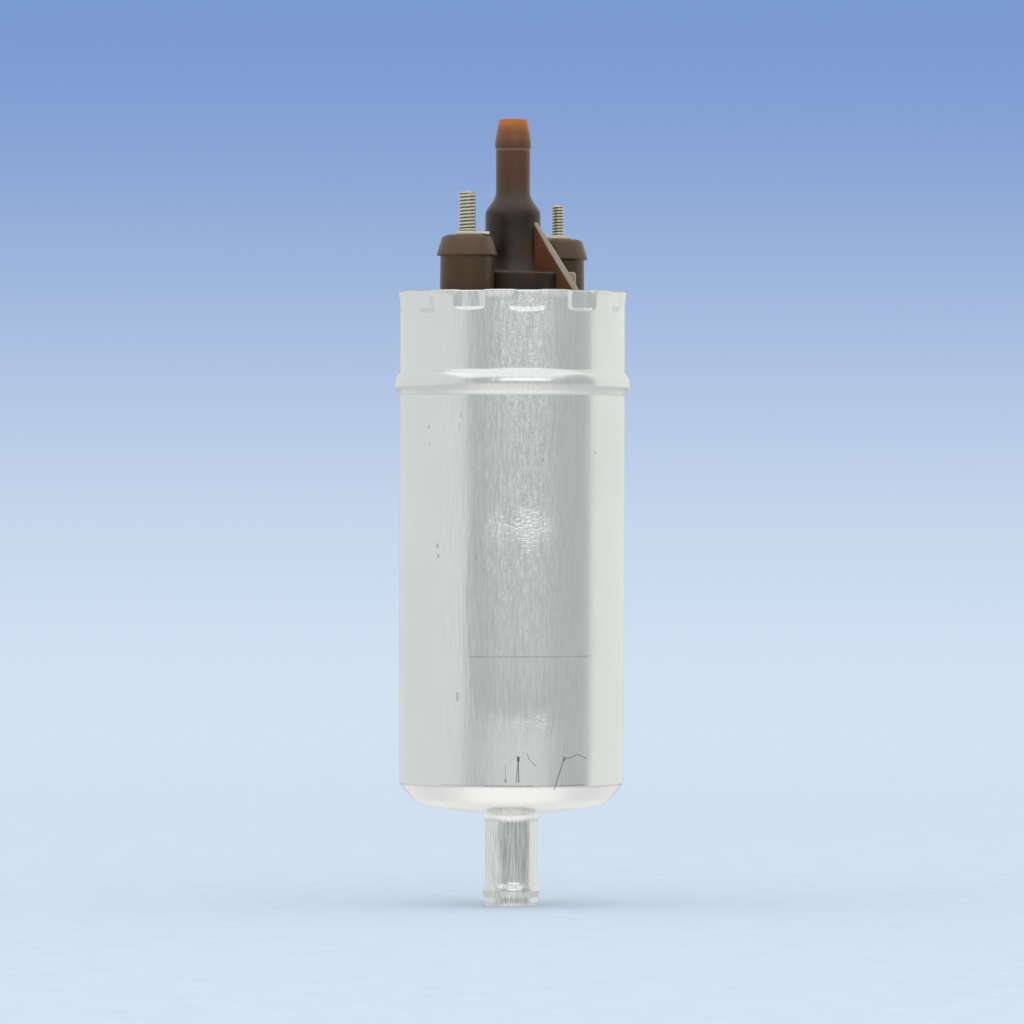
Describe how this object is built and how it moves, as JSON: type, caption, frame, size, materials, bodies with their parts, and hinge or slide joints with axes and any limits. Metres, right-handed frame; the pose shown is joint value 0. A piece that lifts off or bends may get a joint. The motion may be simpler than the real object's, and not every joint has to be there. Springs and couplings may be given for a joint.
{
  "type": "fuel pump",
  "caption": "Inline electric roller-cell fuel pump in a drawn can, with a crimped plastic cover, hose tubes at both ends and threaded terminal studs.",
  "frame": {"origin": "centre of the inlet tube's end face, on the can's axis", "axes": "+Z along the can's axis from inlet to outlet, -Y towards the viewer, who sees the positive stud front left, +X to the viewer's right"},
  "size_m": [0.0544, 0.0544, 0.1815],
  "materials": {
    "drawn_aluminium": "satin, drawn",
    "brown_plastic": "glass-filled, slightly translucent",
    "plated_steel": "zinc plated",
    "seal_rubber": "moulded",
    "yoke_steel": "phosphated",
    "ferrite": "ground",
    "spring_steel": "bright",
    "core_steel": "stamped laminations",
    "machine_steel": "ground",
    "enamelled_copper": "enamelled winding wire",
    "bare_copper": "turned",
    "bearing_bronze": "sintered",
    "brass": "turned",
    "carbon": "pressed",
    "black_plastic": "moulded"
  },
  "bodies": {
    "root": {"can_housing": "drawn_aluminium", "inlet_tube": "drawn_aluminium", "end_cover": "brown_plastic", "outlet_fitting": "brown_plastic", "cover_seal": "seal_rubber", "positive_stud": "plated_steel", "negative_stud": "plated_steel", "positive_plate": "plated_steel", "negative_plate": "plated_steel", "flux_tube": "yoke_steel", "magnet_left": "ferrite", "magnet_right": "ferrite", "magnet_clips": "spring_steel", "upper_bush": "bearing_bronze", "lower_bush": "bearing_bronze", "brush_carrier": "black_plastic", "positive_choke": "enamelled_copper", "negative_choke": "enamelled_copper", "positive_lead": "bare_copper", "negative_lead": "bare_copper", "pump_base_plate": "machine_steel", "cam_ring": "machine_steel", "pump_end_plate": "machine_steel", "pump_screws": "machine_steel", "pump_seal": "seal_rubber", "inlet_gasket": "seal_rubber", "inlet_strainer": "black_plastic", "relief_spring": "spring_steel", "relief_plug": "brass", "check_seat": "brass", "check_spring": "spring_steel", "positive_brush_spring": "spring_steel", "negative_brush_spring": "spring_steel"},
    "armature": {"armature_shaft": "machine_steel", "armature_core": "core_steel", "armature_windings": "enamelled_copper", "commutator_base": "black_plastic", "commutator_segments": "bare_copper", "upper_thrust_washer": "machine_steel", "lower_thrust_washer": "machine_steel", "pump_rotor": "machine_steel", "drive_dog": "machine_steel"},
    "relief_valve": {"relief_ball": "machine_steel"},
    "check_valve": {"check_cone": "black_plastic", "check_seal": "seal_rubber"},
    "brush_positive": {"positive_brush": "carbon"},
    "brush_negative": {"negative_brush": "carbon"},
    "pump_roller_1": {"roller_1": "machine_steel"},
    "pump_roller_2": {"roller_2": "machine_steel"},
    "pump_roller_3": {"roller_3": "machine_steel"},
    "pump_roller_4": {"roller_4": "machine_steel"},
    "pump_roller_5": {"roller_5": "machine_steel"}
  },
  "joints": [
    {"name": "armature_spin", "type": "hinge", "parent": "root", "child": "armature", "pos_m": [0, 0, 0.084], "axis": [0, 0, 1], "continuous": true},
    {"name": "check_valve_lift", "type": "slide", "parent": "root", "child": "check_valve", "axis": [0, 0, 1], "range_m": [0, 0.0018], "stiffness_N_per_m": 600, "springref_m": -0.003, "deforming": ["check_spring"]},
    {"name": "relief_valve_lift", "type": "slide", "parent": "root", "child": "relief_valve", "axis": [0, 0, -1], "range_m": [0, 0.0012], "stiffness_N_per_m": 4000, "springref_m": -0.002, "deforming": ["relief_spring"]},
    {"name": "positive_brush_slide", "type": "slide", "parent": "root", "child": "brush_positive", "axis": [0, 0, 1], "range_m": [0, 0.0015], "stiffness_N_per_m": 300, "springref_m": -0.006, "deforming": ["positive_brush_spring"]},
    {"name": "negative_brush_slide", "type": "slide", "parent": "root", "child": "brush_negative", "axis": [0, 0, 1], "range_m": [0, 0.0015], "stiffness_N_per_m": 300, "springref_m": -0.006, "deforming": ["negative_brush_spring"]},
    {"name": "roller_1_spin", "type": "hinge", "parent": "armature", "child": "pump_roller_1", "pos_m": [0.0101, 0, 0.045], "axis": [0, 0, 1], "continuous": true},
    {"name": "roller_2_spin", "type": "hinge", "parent": "armature", "child": "pump_roller_2", "pos_m": [0.00312, 0.00961, 0.045], "axis": [0, 0, 1], "continuous": true},
    {"name": "roller_3_spin", "type": "hinge", "parent": "armature", "child": "pump_roller_3", "pos_m": [-0.00817, 0.00594, 0.045], "axis": [0, 0, 1], "continuous": true},
    {"name": "roller_4_spin", "type": "hinge", "parent": "armature", "child": "pump_roller_4", "pos_m": [-0.00817, -0.00594, 0.045], "axis": [0, 0, 1], "continuous": true},
    {"name": "roller_5_spin", "type": "hinge", "parent": "armature", "child": "pump_roller_5", "pos_m": [0.00312, -0.00961, 0.045], "axis": [0, 0, 1], "continuous": true}
  ],
  "couplings": [
    {"joint": "roller_1_spin", "follows": "armature_spin", "ratio": -5.3846},
    {"joint": "roller_2_spin", "follows": "armature_spin", "ratio": -5.3846},
    {"joint": "roller_3_spin", "follows": "armature_spin", "ratio": -5.3846},
    {"joint": "roller_4_spin", "follows": "armature_spin", "ratio": -5.3846},
    {"joint": "roller_5_spin", "follows": "armature_spin", "ratio": -5.3846}
  ]
}
